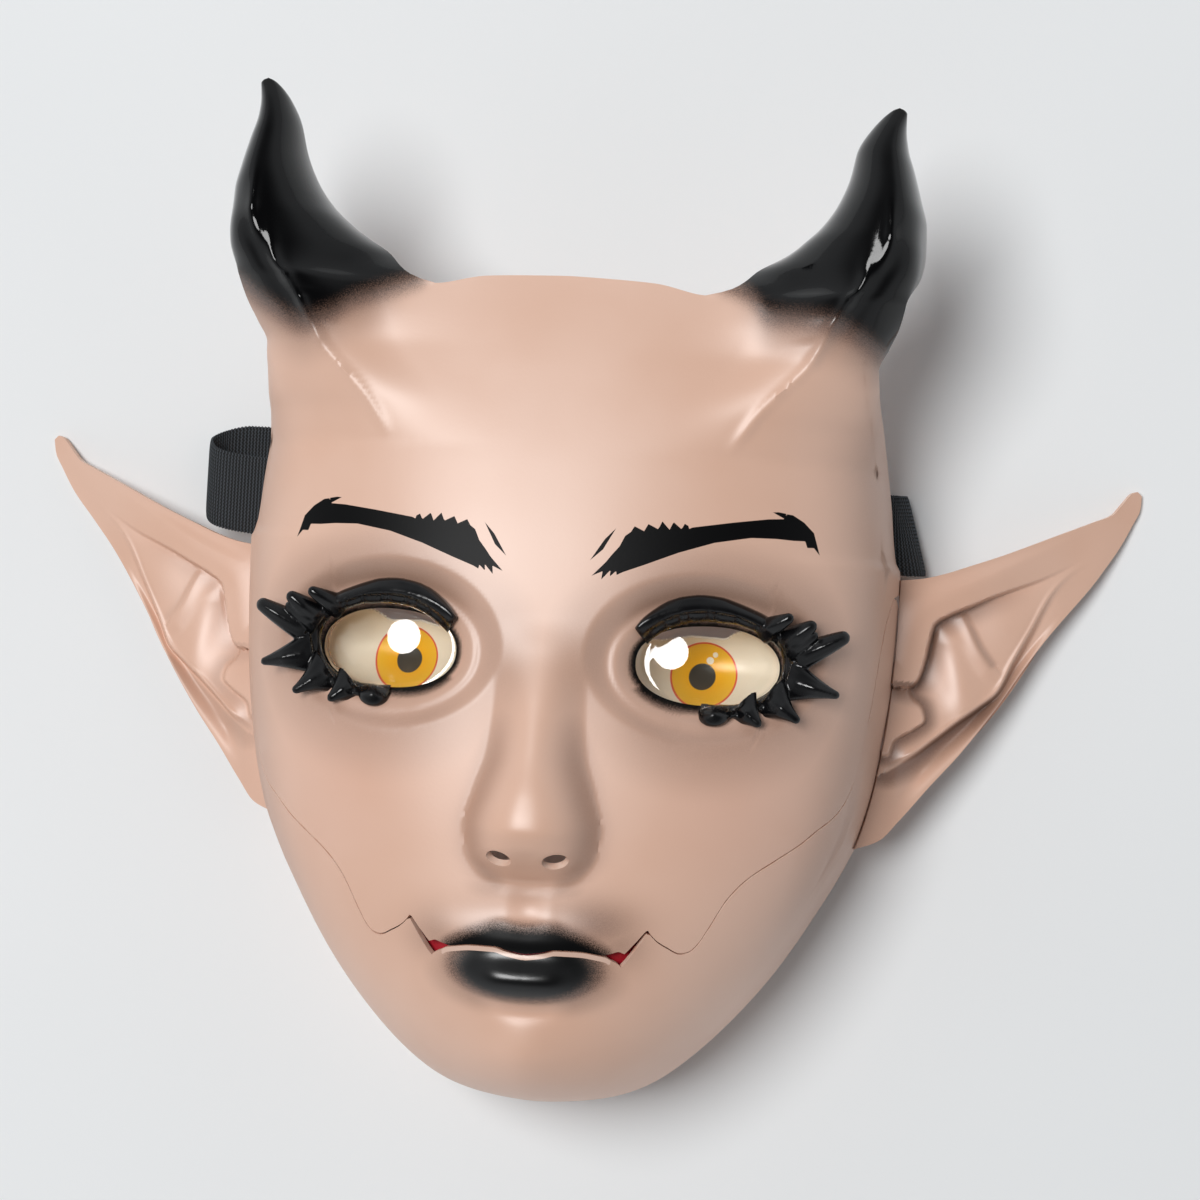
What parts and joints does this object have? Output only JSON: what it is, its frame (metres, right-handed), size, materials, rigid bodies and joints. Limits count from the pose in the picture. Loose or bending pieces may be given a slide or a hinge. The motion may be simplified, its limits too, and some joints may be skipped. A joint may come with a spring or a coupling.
{
  "type": "horned creature mask",
  "caption": "Moulded plastic creature mask with black horns, long pointed ears, doll-like eyes and a hinged lower jaw, lying face up with its elastic strap.",
  "frame": {"origin": "middle of the mask on the surface that it lies on", "axes": "+X towards the viewer's right when looking at the face, +Y from the chin to the horns, +Z out of the face"},
  "size_m": [0.3524, 0.3096, 0.1184],
  "materials": {
    "skin": "satin flesh-coloured plastic with sprayed black horns and painted brows",
    "lining": "plain red sheet",
    "lashes": "glossy black",
    "lens": "clear plastic",
    "eyeball": "painted iris on a cream dish",
    "webbing": "ribbed black elastic"
  },
  "bodies": {
    "mask": {"face_shell": "skin", "ear_right": "skin", "ear_left": "skin", "lash_frame_right": "lashes", "lash_frame_left": "lashes", "eye_lens_right": "lens", "eye_lens_left": "lens", "eye_dish_right": "eyeball", "eye_dish_left": "eyeball", "head_strap": "webbing"},
    "jaw": {"jaw_shell": "skin", "mouth_lining": "lining"}
  },
  "joints": [
    {"name": "jaw_hinge", "type": "hinge", "parent": "mask", "child": "jaw", "pos_m": [0, 0.01075, 0.031], "axis": [1, 0, 0], "range_deg": [0, 15]}
  ]
}
